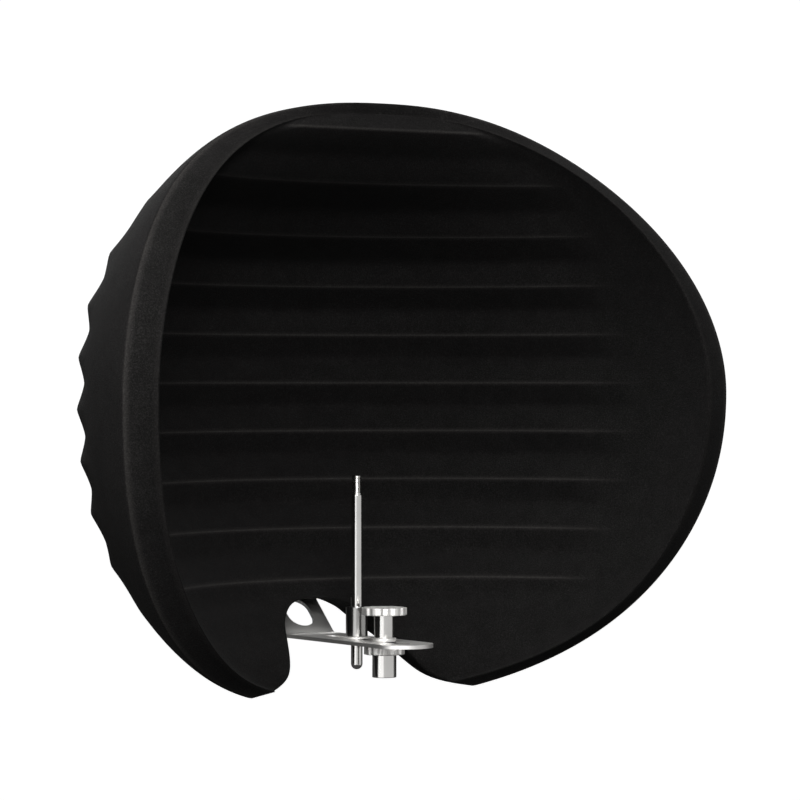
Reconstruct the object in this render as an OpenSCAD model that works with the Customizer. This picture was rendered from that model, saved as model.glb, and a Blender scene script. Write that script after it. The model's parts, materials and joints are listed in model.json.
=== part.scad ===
// Felt vocal shield on a slotted steel bracket, with a stand clamp and an accessory post.
// Millimetres, +Z up. The origin is the mouth of the stand socket, on the clamp's own axis.
// The bowl opens towards -Y and is symmetric about X = 0.

/* [Felt bowl] */
// Half width of the bowl's inner rim
rim_half_w = 260; // [254:1:264]
// Height of the inner rim above its widest level
rim_up = 226; // [222:1:228]
// Depth of the inner rim below its widest level
rim_down = 247; // [244:1:250]
// Width of the lip, measured sideways
lip_w = 27; // [24:1:30]
// Height of the lip at the top and the bottom
lip_h = 8.5; // [7:0.5:10]
// Depth of the bowl, from the foremost rim to the outside of the back
bowl_depth = 300; // [294:1:304]
// Wall thickness at the back
wall = 14; // [12:1:16]
// Height from one rib to the next
rib_pitch = 41;
// Height of a rib, half of crest to valley
rib_height = 4.2; // [3:0.2:5]
// Level of the rim's widest point above the socket's mouth
rim_level = 230;
// Distance from the clamp's axis forward to the foremost rim
rim_front = 93; // [90:1:96]

/* [Notch] */
// Level of the notch's flat top
notch_top = 58; // [56:1:60]
// Half width of the notch near its top
notch_half_w = 33; // [31:1:34]
// How much wider each side of the notch gets on its way down
notch_flare = 36; // [34:1:38]
// How much more the lobes' round ends widen it
notch_round = 17; // [15:1:18]

/* [Bracket] */
// Thickness of the sheet
sheet = 3;
// Half width of the plate, and radius of its nose
plate_half_w = 24; // [22:0.5:25]
// Distance from the clamp's axis forward to the centre of the nose
nose_y = 28; // [26:1:30]
// Distance from the clamp's axis back to the bend
bend_y = 113;
// Slope of the tongue, in degrees
tongue_angle = 43;
// Length of the tongue past the bend
tongue_len = 78; // [76:1:80]
// Half width of the slot
slot_r = 6;
// Distance from the clamp's axis forward to the centre of the slot's front end
slot_front = 28;
// Distance from the clamp's axis back to the centre of the slot's rear end
slot_rear = 78;

/* [Stand clamp] */
// Outer radius of the socket
socket_r = 9.8; // [9.6:0.1:10]
// Radius of the stand thread's bore, for 5/8 inch
thread_bore_r = 7.5;
// Length of the threaded bore
thread_bore_len = 15.5;
// Radius of the socket's wheel
wheel_r = 16.5; // [16:0.1:17]
// Radius of the upper knob
knob_r = 18.3; // [18:0.1:18.6]
// Radius of the pillar
pillar_r = 8.25; // [8:0.05:8.5]
// Radius of the clamp's stud
stud_r = 4;

/* [Accessory post] */
// Distance from the clamp's axis back to the post
post_y = 41.5;
// Radius of the rod, for 3/8 inch
rod_r = 4.75;
// Level of the rod's shoulder
rod_top = 147; // [140:1:150]
// Radius of the rod's threaded tip, for M8
tip_r = 4;
// Length of the threaded tip
tip_len = 15.6; // [14:0.2:16]
// Radius of the collar
collar_r = 9; // [8.8:0.1:9.4]

/* [Hidden] */
$fn = 64;

steel = [0.80, 0.80, 0.78];
dark_steel = [0.32, 0.32, 0.33];
felt = [0.05, 0.05, 0.055];
rubber = [0.08, 0.08, 0.08];
nylon = [0.15, 0.15, 0.15];
brass = [0.75, 0.62, 0.32];

// Levels of the clamp's stack, from the socket's mouth upward
wheel_z0 = 18.5;
wheel_z1 = 25;
plate_z0 = 26;
plate_z1 = plate_z0 + sheet;
gap = 0.05;
pillar_z0 = 32;
pillar_z1 = 50.5;
knob_z1 = 56.5;
stud_top = 48;
collar_z1 = 55;
stem_top = 44;

// ---------- felt bowl ----------

// The rim is a curve that leans back at its top and bottom. A superellipse gives its width at each
// level, with one set of exponents above the widest level and one below it.
up_p = 1.87;
up_q = 2.4;
down_p = 2.2;
down_q = 2.43;
// How far the rim leans back: a share that grows with the square of the height, and one that only
// counts near the ends.
lean_up = 92;
lean_up_end = 7;
lean_down = 82;
lean_down_end = 57;
// The lip's outer edge leans a little differently, and starts behind the inner edge.
lip_back = 10.6;
lip_lean_up = 107;
lip_lean_up_end = -21;
lip_lean_down = 95.5;
lip_lean_down_end = 35;
// Level at which the bowl is deepest, and the exponents of its back profile. The outside is boxier
// than the inside below that level, so the wall gets thicker towards the bottom.
deep_level = 255;
back_up_e = 2.78;
back_up_k = 0.6;
outside_down_e = 3.28;
outside_down_k = 0.95;
inside_down_e = 2.9;
inside_down_k = 1.08;
// Exponent of the level sections, a little under an ellipse's 2
section_m = 1.9;
// Level of one inner rib crest
crest_level = 238;
// Angle behind the rim at which the ribs start, and at which they have their full height
rib_start = 15;
rib_full = 33;
// Thickening of the wall behind the notch, which carries the bracket
boss_depth = 42;
boss_half_w = 70;
boss_level = 52;
boss_half_h = 43;
// How far the flat seat reaches past the tongue's sides, and the width over which it fades out
seat_margin = 12;
seat_fade = 14;

// Notch: a flat top with round corners, and sides that flare on their way down
notch_corner = 8;
notch_ref = -10;
flare_e = 0.75;
round_e = 13;
corner_level = notch_top - notch_corner;
function notch_side(z) =
    let (u = (notch_top - z) / (notch_top - notch_ref), t = clamp01((z - corner_level) / notch_corner),
         side = notch_half_w + notch_flare * pow(max(u, 0), flare_e) + notch_round * pow(max(u, 0), round_e))
    side - notch_corner * (1 - sqrt(1 - t * t));

// Mesh: rows at even steps of a quarter of a rib's pitch, with finer rows at the ends and round the
// notch's corners. Columns run from the rim's right side round the back to its left side.
row_step = rib_pitch / 4;
end_rows = 5;
corner_rows = 4;
side_columns = 18;
middle_columns = 6;
columns = 2 * side_columns + middle_columns;
end_margin = 0.5;

function clamp01(v) = min(1, max(0, v));
function smooth(v) = let (c = clamp01(v)) c * c * (3 - 2 * c);

// Height share from the widest level to the rim's end, 0 to 1
function share(z, up, down) = z > rim_level ? (z - rim_level) / up : (rim_level - z) / down;
function half_width(z, a, up, down) =
    let (h = clamp01(share(z, up, down)))
    z > rim_level ? a * pow(1 - pow(h, up_p), 1 / up_q) : a * pow(1 - pow(h, down_p), 1 / down_q);
function lean(z, up, down, u2, u8, d2, d8) =
    let (h = clamp01(share(z, up, down)))
    z > rim_level ? u2 * pow(h, 2) + u8 * pow(h, 8) : d2 * pow(h, 2) + d8 * pow(h, 8);
function back_share(z, top, bottom, down_e, down_k) =
    z > deep_level
        ? pow(1 - pow(clamp01((z - deep_level) / (top - deep_level)), back_up_e), 1 / back_up_k)
        : pow(1 - pow(clamp01((deep_level - z) / (deep_level - bottom)), down_e), 1 / down_k);

// Triangle wave, -1 at an inner crest and 1 halfway between two crests
function rib_wave(z) =
    let (t = (z - crest_level) / rib_pitch, f = t - floor(t))
    1 - 4 * abs(f - 0.5);
function rib(z, angle) =
    rib_height * rib_wave(z) * smooth((min(angle, 180 - angle) - rib_start) / (rib_full - rib_start));

inner_top = rim_level + rim_up;
inner_bottom = rim_level - rim_down;
outer_top = inner_top + lip_h;
outer_bottom = inner_bottom - lip_h;
function inner_width(z) = half_width(z, rim_half_w, rim_up, rim_down);
function outer_width(z) = half_width(z, rim_half_w + lip_w, rim_up + lip_h, rim_down + lip_h);

// Angle round the section at which column i lies. The middle columns lie between the notch's sides.
function column_angle(i, z, a) =
    let (w = z < notch_top ? notch_side(z) : min(notch_side(z), 0.3 * a),
         side = acos(min(1, pow(w / a, section_m / 2))))
    i <= side_columns ? side * i / side_columns
        : i >= side_columns + middle_columns ? 180 - side * (columns - i) / side_columns
        : let (x = w * (1 - 2 * (i - side_columns) / middle_columns))
          acos(sign(x) * pow(abs(x) / a, section_m / 2));

// Thickening of the wall behind the notch, and the flat seat that the tongue lies against
function boss(x, z) =
    boss_depth * exp(-pow(x / boss_half_w, 2)) * exp(-pow((z - boss_level) / boss_half_h, 2));
function seat_y(z) =
    let (up_slope = (z - plate_z1 - bend_r - seat_z * cos(tongue_angle)) / sin(tongue_angle))
    bend_y - seat_z * sin(tongue_angle) + up_slope * cos(tongue_angle);
function seated(x, y, z) =
    let (inside = 1 - smooth((abs(x) - plate_half_w - seat_margin) / seat_fade))
    y + (min(y, seat_y(z)) - y) * inside;

// The ribs also move the wall sideways, so that they show on its flanks
function flank(angle, r) = r * across(angle) * abs(across(angle));
function inner_point(z, i) =
    let (a = inner_width(z), angle = column_angle(i, z, a), r = rib(z, angle),
         y0 = lean(z, rim_up, rim_down, lean_up, lean_up_end, lean_down, lean_down_end),
         y1 = y0 + (bowl_depth - wall - y0)
              * back_share(z, inner_top, inner_bottom, inside_down_e, inside_down_k))
    [a * across(angle) + flank(angle, r), y0 + (y1 - y0 + r) * inward(angle) - rim_front, z];
function outer_point(z, i) =
    let (a = outer_width(z), angle = column_angle(i, z, a), r = rib(z, angle),
         y0 = lip_back + lean(z, rim_up + lip_h, rim_down + lip_h,
                              lip_lean_up, lip_lean_up_end, lip_lean_down, lip_lean_down_end),
         y1 = y0 + (bowl_depth - y0)
              * back_share(z, outer_top, outer_bottom, outside_down_e, outside_down_k),
         x = a * across(angle) + flank(angle, r))
    [x, seated(x, y0 + (y1 - y0 + r + boss(x, z)) * inward(angle) - rim_front, z), z];
function across(angle) = sign(cos(angle)) * pow(abs(cos(angle)), 2 / section_m);
function inward(angle) = pow(abs(sin(angle)), 2 / section_m);

// Level at which the notch's side runs out over the rim, found by halving
function lobe_end(down, extra, z0, z1, turns) =
    let (mid = (z0 + z1) / 2)
    turns == 0 ? z1
        : half_width(mid, rim_half_w + extra, rim_up, down) > notch_side(mid) + end_margin
            ? lobe_end(down, extra, z0, mid, turns - 1)
            : lobe_end(down, extra, mid, z1, turns - 1);

even = [for (j = [40:-1:-40]) crest_level + j * row_step];
function levels(top, lobe) =
    let (upper = [for (z = even) if (z > notch_top + 1 && z < inner_top - row_step) z],
         lower = [for (z = even) if (z < corner_level - 2 && z > row_step) z],
         high = top - end_margin, low = lower[len(lower) - 1])
    concat(
        [for (k = [0:end_rows - 1]) high - (high - upper[0]) * pow(k / end_rows, 2)],
        upper,
        [for (k = [0:corner_rows]) corner_level + notch_corner * cos(90 * k / corner_rows)],
        lower,
        [for (k = [end_rows - 1:-1:0]) lobe + (low - lobe) * pow(k / end_rows, 1.5)]);

module bowl() {
    inner_z = levels(inner_top, lobe_end(rim_down, 0, inner_bottom, corner_level, 16));
    outer_z = levels(outer_top, lobe_end(rim_down + lip_h, lip_w, outer_bottom, corner_level, 16));
    last = len(inner_z) - 1;
    notch_row = search(notch_top, inner_z)[0];
    left_column = side_columns + middle_columns;
    per_row = columns + 1;
    size = (last + 1) * per_row;
    points = concat(
        [for (z = outer_z) for (i = [0:columns]) outer_point(z, i)],
        [for (z = inner_z) for (i = [0:columns]) inner_point(z, i)]);
    function at(j, i) = j * per_row + i;
    function solid_cell(j, i) = j < notch_row || i < side_columns || i >= left_column;
    outside = [for (j = [0:last - 1]) for (i = [0:columns - 1]) if (solid_cell(j, i))
        for (t = [[at(j, i), at(j, i + 1), at(j + 1, i + 1)], [at(j, i), at(j + 1, i + 1), at(j + 1, i)]]) t];
    inside = [for (t = outside) [t[2] + size, t[1] + size, t[0] + size]];
    // Free edges of the sheet: its top, its right and left sides, its bottom, and the notch
    edges = concat(
        [for (i = [0:columns - 1]) [at(0, i), at(0, i + 1)]],
        [for (j = [0:last - 1]) [at(j, columns), at(j + 1, columns)]],
        [for (j = [0:last - 1]) [at(j + 1, 0), at(j, 0)]],
        [for (i = [0:columns - 1]) if (solid_cell(last, i)) [at(last, i + 1), at(last, i)]],
        [for (j = [notch_row:last - 1]) [at(j, side_columns), at(j + 1, side_columns)]],
        [for (j = [notch_row:last - 1]) [at(j + 1, left_column), at(j, left_column)]],
        [for (i = [side_columns:left_column - 1]) [at(notch_row, i + 1), at(notch_row, i)]]);
    band = [for (e = edges)
        for (t = [[e[1], e[0], e[0] + size], [e[1], e[0] + size, e[1] + size]]) t];
    polyhedron(points, concat(outside, inside, band), convexity = 10);
}

// Everything on the tongue is placed in the tongue's own frame: Y runs up the slope from the bend,
// Z is square to the sheet, and the sheet's upper face is at -bend_r.
bend_r = 4;
module on_tongue() {
    translate([0, bend_y, plate_z1 + bend_r])
        rotate([tongue_angle, 0, 0])
            children();
}
pad_t = 2;
pad_half_w = 22;
seat_z = -bend_r + pad_t;
pad_y0 = 46;
pad_y1 = 76;
screw_x = 14;
screw_ys = [52, 70];
screw_r = 2;
anchor_z = 10;
anchor_t = 3;
anchor_margin = 2;

module at_screws() {
    for (x = [-screw_x, screw_x])
        for (y = screw_ys)
            translate([x, y, 0])
                children();
}

module felt_shell() {
    play = 0.2;
    overrun = 2;
    color(felt)
        difference() {
            bowl();
            on_tongue() {
                translate([-pad_half_w - play, pad_y0 - anchor_margin - play, anchor_z - play])
                    cube([2 * (pad_half_w + play), pad_y1 - pad_y0 + 2 * (anchor_margin + play),
                          anchor_t + overrun]);
                at_screws()
                    translate([0, 0, seat_z - 1])
                        cylinder(r = screw_r + 0.4, h = anchor_z - seat_z + 1.5, $fn = 8);
            }
        }
}

// ---------- bracket ----------

module oblong(r, y0, y1) {
    translate([0, y0])
        circle(r);
    translate([0, y1])
        circle(r);
    translate([-r, y0])
        square([2 * r, y1 - y0]);
}

module bracket() {
    hole_r = 12;
    hole_y = [19, 26];
    corner = 8;
    color(steel) {
        translate([0, 0, plate_z0])
            linear_extrude(sheet)
                difference() {
                    union() {
                        translate([0, -nose_y])
                            circle(plate_half_w);
                        translate([-plate_half_w, -nose_y])
                            square([2 * plate_half_w, bend_y + nose_y]);
                    }
                    oblong(slot_r, -slot_front, slot_rear);
                }
        translate([0, bend_y, plate_z1 + bend_r])
            rotate([0, 90, 0])
                rotate_extrude(angle = tongue_angle)
                    translate([bend_r, -plate_half_w])
                        square([sheet, 2 * plate_half_w]);
        on_tongue()
            translate([0, 0, -bend_r - sheet])
                linear_extrude(sheet)
                    difference() {
                        union() {
                            translate([-plate_half_w, 0])
                                square([2 * plate_half_w, tongue_len - corner]);
                            translate([-plate_half_w + corner, 0])
                                square([2 * (plate_half_w - corner), tongue_len]);
                            for (x = [-1, 1])
                                translate([x * (plate_half_w - corner), tongue_len - corner])
                                    circle(corner);
                        }
                        oblong(hole_r, hole_y[0], hole_y[1]);
                        for (x = [-screw_x, screw_x])
                            for (y = screw_ys)
                                translate([x, y])
                                    circle(screw_r + 0.25);
                    }
    }
}

module seat_pad() {
    color(rubber)
        on_tongue()
            difference() {
                translate([-pad_half_w, pad_y0, -bend_r])
                    cube([2 * pad_half_w, pad_y1 - pad_y0, pad_t]);
                at_screws()
                    translate([0, 0, -bend_r - 1])
                        cylinder(r = screw_r + 0.3, h = pad_t + 2);
            }
}

module anchor_plate() {
    color(dark_steel)
        on_tongue()
            difference() {
                translate([-pad_half_w, pad_y0 - anchor_margin, anchor_z])
                    cube([2 * pad_half_w, pad_y1 - pad_y0 + 2 * anchor_margin, anchor_t]);
                at_screws()
                    translate([0, 0, anchor_z - 1])
                        cylinder(r = screw_r + 0.03, h = anchor_t + 2);
            }
}

washer_t = 1;
washer_top = -bend_r - sheet;
module bracket_screws() {
    head_h = 2.4;
    head_r = 3.7;
    color(dark_steel)
        on_tongue()
            at_screws()
                difference() {
                    union() {
                        translate([0, 0, washer_top - washer_t])
                            cylinder(r = screw_r, h = anchor_z + anchor_t + 1 - washer_top + washer_t);
                        translate([0, 0, washer_top - washer_t - head_h])
                            cylinder(r1 = head_r - 0.8, r2 = head_r, h = head_h);
                    }
                    translate([0, 0, washer_top - washer_t - head_h - 1])
                        cylinder(r = 1.45, h = 2.3, $fn = 6);
                }
}

module screw_washers() {
    color(dark_steel)
        on_tongue()
            at_screws()
                translate([0, 0, washer_top - washer_t])
                    difference() {
                        cylinder(r = 4.5, h = washer_t);
                        translate([0, 0, -1])
                            cylinder(r = screw_r + 0.15, h = washer_t + 2);
                    }
}

// ---------- stand clamp ----------

// Round disc with finger scallops and chamfered edges
module scalloped_disc(r, h, bore, count) {
    cut_r = r * 0.17;
    chamfer = 0.6;
    difference() {
        rotate_extrude()
            polygon([[bore, 0], [r - chamfer, 0], [r, chamfer], [r, h - chamfer], [r - chamfer, h],
                     [bore, h]]);
        for (k = [0:count - 1])
            rotate([0, 0, (k + 0.5) * 360 / count])
                translate([r + cut_r * 0.55, 0, -1])
                    cylinder(r = cut_r, h = h + 2, $fn = 32);
    }
}

// Ring made by turning, with a chamfer at both ends of its outside
module turned(r, bore, z0, z1, chamfer) {
    rotate_extrude()
        polygon([[bore, z0], [r - chamfer, z0], [r, z0 + chamfer], [r, z1 - chamfer], [r - chamfer, z1],
                 [bore, z1]]);
}

spigot_r = 7;
module stand_socket() {
    chamfer = 0.5;
    color(steel)
        rotate_extrude()
            polygon([[thread_bore_r, 0], [socket_r - chamfer, 0], [socket_r, chamfer], [socket_r, wheel_z0],
                     [spigot_r, wheel_z0], [spigot_r, wheel_z1], [stud_r, wheel_z1],
                     [stud_r, thread_bore_len], [thread_bore_r, thread_bore_len]]);
}

module socket_wheel() {
    color(steel)
        translate([0, 0, wheel_z0])
            scalloped_disc(wheel_r, wheel_z1 - wheel_z0, spigot_r, 12);
}

module clamp_stud() {
    color(dark_steel)
        translate([0, 0, thread_bore_len])
            cylinder(r = stud_r, h = stud_top - thread_bore_len);
}

lower_washer_r = 12;
module lower_washer() {
    color(nylon)
        turned(lower_washer_r, stud_r + 0.05, wheel_z1 + gap, plate_z0 - gap, 0.1);
}

module slot_guide() {
    block_r = slot_r - 0.05;
    color(nylon)
        translate([0, 0, plate_z0])
            linear_extrude(sheet)
                difference() {
                    oblong(block_r, -4, 4);
                    circle(stud_r + 0.05);
                }
}

pillar_washer_r = 9.7;
module pillar_washer() {
    color(steel)
        turned(pillar_washer_r, stud_r + 0.05, plate_z1 + gap, pillar_z0 - gap, 0.4);
}

insert_r = 6;
neck_r = 5.5;
neck_z1 = 54.5;
module clamp_pillar() {
    color(steel)
        rotate_extrude()
            polygon([[insert_r, pillar_z0], [pillar_r - 0.4, pillar_z0], [pillar_r, pillar_z0 + 0.4],
                     [pillar_r, pillar_z1], [neck_r, pillar_z1], [neck_r, neck_z1], [0, neck_z1],
                     [0, stud_top + 1], [insert_r, stud_top + 1]]);
}

module knob_insert() {
    color(brass)
        turned(insert_r, stud_r + 0.05, pillar_z0 + 0.5, stud_top + 1, 0);
}

module clamp_knob() {
    color(steel)
        difference() {
            translate([0, 0, pillar_z1])
                scalloped_disc(knob_r, knob_z1 - pillar_z1, 0, 12);
            translate([0, 0, pillar_z1 - 1])
                cylinder(r = neck_r, h = neck_z1 - pillar_z1 + 1);
        }
}

// ---------- accessory post ----------

stem_r = slot_r - 0.1;
flange_r = 7.2;
flange_z0 = 25;
bore_r = rod_r + 0.05;
module at_post() {
    translate([0, post_y, 0])
        children();
}

module post_stem() {
    color(steel)
        at_post()
            rotate_extrude()
                polygon([[bore_r, flange_z0], [flange_r, flange_z0], [flange_r, plate_z0 - gap],
                         [stem_r, plate_z0 - gap], [stem_r, stem_top], [bore_r, stem_top]]);
}

collar_washer_r = 12.5;
washer_z1 = 30.5;
module collar_washer() {
    color(steel)
        at_post()
            turned(collar_washer_r, stem_r + 0.05, plate_z1 + gap, washer_z1, 0.3);
}

collet_r = 6.6;
collet_z1 = 50;
module post_collet() {
    color(brass)
        at_post()
            difference() {
                turned(collet_r, bore_r, stem_top, collet_z1, 0.5);
                translate([0, -0.4, stem_top - 1])
                    cube([collet_r + 1, 0.8, collet_z1 - stem_top + 2]);
            }
}

module post_collar() {
    chamfer = 0.5;
    top_r = rod_r + 0.35;
    color(steel)
        at_post()
            rotate_extrude()
                polygon([[stem_r + 0.05, washer_z1 + gap], [collar_r - chamfer, washer_z1 + gap],
                         [collar_r, washer_z1 + gap + chamfer], [collar_r, collar_z1 - chamfer],
                         [collar_r - chamfer, collar_z1], [top_r, collar_z1],
                         [top_r, collet_z1 + 0.1], [collet_r + 0.1, collet_z1 + 0.1],
                         [collet_r + 0.1, stem_top - 0.1], [stem_r + 0.05, stem_top - 0.1]]);
}

rod_bottom = 3.6;
module post_rod() {
    chamfer = 0.4;
    tip_top = rod_top + tip_len;
    dome_z = rod_bottom + rod_r;
    color(steel)
        at_post() {
            translate([0, 0, dome_z])
                sphere(rod_r);
            rotate_extrude()
                polygon([[0, dome_z], [rod_r, dome_z], [rod_r, rod_top - chamfer], [tip_r, rod_top],
                         [tip_r, tip_top - chamfer], [tip_r - chamfer, tip_top], [0, tip_top]]);
        }
}

felt_shell();
bracket();
seat_pad();
anchor_plate();
bracket_screws();
screw_washers();
stand_socket();
socket_wheel();
clamp_stud();
lower_washer();
slot_guide();
pillar_washer();
clamp_pillar();
knob_insert();
clamp_knob();
post_stem();
collar_washer();
post_collet();
post_collar();
post_rod();
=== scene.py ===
import json
import math

import bpy
import numpy as np
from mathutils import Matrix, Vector
from mathutils.kdtree import KDTree


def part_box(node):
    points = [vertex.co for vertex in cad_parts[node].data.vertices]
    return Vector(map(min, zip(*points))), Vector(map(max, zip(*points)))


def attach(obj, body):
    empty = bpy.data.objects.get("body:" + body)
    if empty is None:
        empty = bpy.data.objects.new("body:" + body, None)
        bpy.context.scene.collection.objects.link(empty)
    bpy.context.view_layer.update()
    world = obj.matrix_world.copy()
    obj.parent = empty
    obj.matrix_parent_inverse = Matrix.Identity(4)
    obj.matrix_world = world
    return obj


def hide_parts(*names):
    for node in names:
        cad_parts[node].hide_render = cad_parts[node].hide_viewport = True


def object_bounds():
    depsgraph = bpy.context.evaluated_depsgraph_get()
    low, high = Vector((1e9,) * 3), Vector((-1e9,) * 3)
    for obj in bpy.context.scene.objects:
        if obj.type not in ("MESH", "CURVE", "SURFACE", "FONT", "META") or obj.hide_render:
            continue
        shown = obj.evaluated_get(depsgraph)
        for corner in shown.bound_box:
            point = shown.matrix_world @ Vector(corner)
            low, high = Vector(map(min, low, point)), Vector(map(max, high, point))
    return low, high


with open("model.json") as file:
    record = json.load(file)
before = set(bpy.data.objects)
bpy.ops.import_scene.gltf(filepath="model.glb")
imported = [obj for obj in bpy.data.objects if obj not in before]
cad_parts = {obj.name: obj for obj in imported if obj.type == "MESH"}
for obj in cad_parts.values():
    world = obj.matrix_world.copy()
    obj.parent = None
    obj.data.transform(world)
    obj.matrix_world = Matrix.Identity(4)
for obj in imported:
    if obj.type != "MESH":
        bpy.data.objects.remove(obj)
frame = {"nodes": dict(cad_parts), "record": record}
cad_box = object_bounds()
MM = 0.001

# ---------------------------------------------------------------- helpers


def new_object(name, verts, faces, smooth=True):
    """A mesh object from lists of points and faces."""
    mesh = bpy.data.meshes.new(name)
    mesh.from_pydata([tuple(v) for v in verts], [], [tuple(f) for f in faces])
    mesh.update()
    mesh.shade_smooth() if smooth else mesh.shade_flat()
    obj = bpy.data.objects.new(name, mesh)
    bpy.context.scene.collection.objects.link(obj)
    return obj


def node_material(name):
    """A new material, its node tree and its Principled shader."""
    mat = bpy.data.materials.new(name)
    mat.use_nodes = True
    tree = mat.node_tree
    return mat, tree, tree.nodes["Principled BSDF"]


def add(tree, kind, **settings):
    """A new shader node with these settings."""
    node = tree.nodes.new(kind)
    for key, value in settings.items():
        setattr(node, key, value)
    return node


def noise(tree, vector, scale, detail=2.0, rough=0.5):
    """Fine noise between 0 and 1; a scale of 1000 has grains of about a millimetre."""
    node = add(tree, "ShaderNodeTexNoise")
    node.inputs["Scale"].default_value = scale
    node.inputs["Detail"].default_value = detail
    node.inputs["Roughness"].default_value = rough
    tree.links.new(vector, node.inputs["Vector"])
    return node.outputs["Fac"]


def ramp(tree, value, stops):
    """A colour ramp from (position, grey or colour) stops."""
    node = add(tree, "ShaderNodeValToRGB")
    band = node.color_ramp
    while len(band.elements) < len(stops):
        band.elements.new(0.5)
    for element, (position, colour) in zip(band.elements, stops):
        element.position = position
        rgb = colour if isinstance(colour, tuple) else (colour,) * 3
        element.color = (*rgb, 1)
    tree.links.new(value, node.inputs["Fac"])
    return node.outputs["Color"]


def maths(tree, operation, a, b):
    """One Math node; a and b are sockets or numbers."""
    node = add(tree, "ShaderNodeMath", operation=operation)
    for socket, value in zip(node.inputs, (a, b)):
        if isinstance(value, (int, float)):
            socket.default_value = value
        else:
            tree.links.new(value, socket)
    return node.outputs[0]


def object_coords(tree, stretch=(1, 1, 1)):
    """The object's own coordinates, squeezed along each axis by its stretch."""
    coords = add(tree, "ShaderNodeTexCoord")
    mapping = add(tree, "ShaderNodeMapping")
    mapping.inputs["Scale"].default_value = stretch
    tree.links.new(coords.outputs["Object"], mapping.inputs["Vector"])
    return mapping.outputs["Vector"]


def bump(tree, shader, height, strength, distance):
    """Fine relief on the shader's normal, distance metres deep."""
    node = add(tree, "ShaderNodeBump")
    node.inputs["Strength"].default_value = strength
    node.inputs["Distance"].default_value = distance
    tree.links.new(height, node.inputs["Height"])
    tree.links.new(node.outputs["Normal"], shader.inputs["Normal"])


def mixed(tree, factor, a, b, blend_type="MIX"):
    """A colour mix; factor, a and b are sockets or values."""
    node = add(tree, "ShaderNodeMix", data_type="RGBA", blend_type=blend_type)
    for socket, value in zip((node.inputs[0], node.inputs[6], node.inputs[7]), (factor, a, b)):
        if isinstance(value, (int, float, tuple)):
            socket.default_value = value if not isinstance(value, tuple) else (*value, 1)
        else:
            tree.links.new(value, socket)
    return node.outputs[2]


# ---------------------------------------------------------------- materials


def make_felt():
    """Near-black moulded felt: fine fibres, a few pale ones, and painted highlights on the crests and
    creases.
    The mesh's attributes mark the painted highlights and the inside face, which gets painted shade."""
    mat, tree, shader = node_material("felt")
    where = object_coords(tree)
    fibre = noise(tree, where, 900, 3, 0.65)
    cloud = noise(tree, where, 60, 3, 0.55)
    fleck = noise(tree, where, 1900, 1, 0.5)
    base = ramp(tree, fibre, [(0.30, (0.0048, 0.0046, 0.0046)), (0.52, (0.0100, 0.0096, 0.0094)),
                              (0.74, (0.0235, 0.0225, 0.0220))])
    tone = ramp(tree, cloud, [(0.3, 0.86), (0.7, 1.14)])
    # painted shade: the inside face of the bowl is darkened, and the band between the faces shades across
    inside = add(tree, "ShaderNodeAttribute", attribute_name="inside")
    painted_inside_shade = ramp(tree, inside.outputs["Fac"], [(0.0, 1.0), (1.0, 0.62)])
    toned = mixed(tree, 1.0, mixed(tree, 1.0, base, tone, "MULTIPLY"), painted_inside_shade, "MULTIPLY")
    flecks = ramp(tree, fleck, [(0.70, 0.0), (0.80, 0.5)])
    flecked = mixed(tree, flecks, toned, (0.055, 0.050, 0.047))
    # painted highlight: paler colour along the crests and creases, where light catches them
    fold = add(tree, "ShaderNodeAttribute", attribute_name="fold")
    painted_highlight = maths(tree, "MULTIPLY", fold.outputs["Fac"], maths(tree, "ADD", fibre, 0.1))
    tree.links.new(mixed(tree, painted_highlight, flecked, (0.085, 0.080, 0.076)), shader.inputs["Base Color"])
    shader.inputs["Roughness"].default_value = 0.95
    shader.inputs["Specular IOR Level"].default_value = 0.05
    shader.inputs["Sheen Weight"].default_value = 0.012
    shader.inputs["Sheen Roughness"].default_value = 0.45
    height = maths(tree, "ADD", fibre, maths(tree, "MULTIPLY", fleck, 0.6))
    bump(tree, shader, height, 0.55, 0.0006)
    return mat


def make_steel(name, tint, roughness, stretch, streak):
    """Steel with fine machining marks, which lie across the axes that stretch squeezes."""
    mat, tree, shader = node_material(name)
    where = object_coords(tree, stretch)
    lines = noise(tree, where, 700, 3, 0.6)
    smear = noise(tree, object_coords(tree), 45, 2, 0.5)
    tree.links.new(ramp(tree, smear, [(0.3, tuple(0.93 * c for c in tint)), (0.7, tint)]),
                   shader.inputs["Base Color"])
    shader.inputs["Metallic"].default_value = 1.0
    wear = maths(tree, "MULTIPLY", lines, streak)
    tree.links.new(maths(tree, "ADD", wear, roughness - streak / 2), shader.inputs["Roughness"])
    bump(tree, shader, lines, 0.025, 0.0001)
    return mat


def make_plain(name, colour, roughness, metallic=0.0, grain=1200):
    """A matt or metallic finish with a fine grain."""
    mat, tree, shader = node_material(name)
    grains = noise(tree, object_coords(tree), grain, 2, 0.5)
    tree.links.new(ramp(tree, grains, [(0.3, tuple(0.85 * c for c in colour)), (0.7, colour)]),
                   shader.inputs["Base Color"])
    shader.inputs["Roughness"].default_value = roughness
    shader.inputs["Metallic"].default_value = metallic
    bump(tree, shader, grains, 0.12, 0.0002)
    return mat


STEEL = (0.80, 0.79, 0.77)
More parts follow.
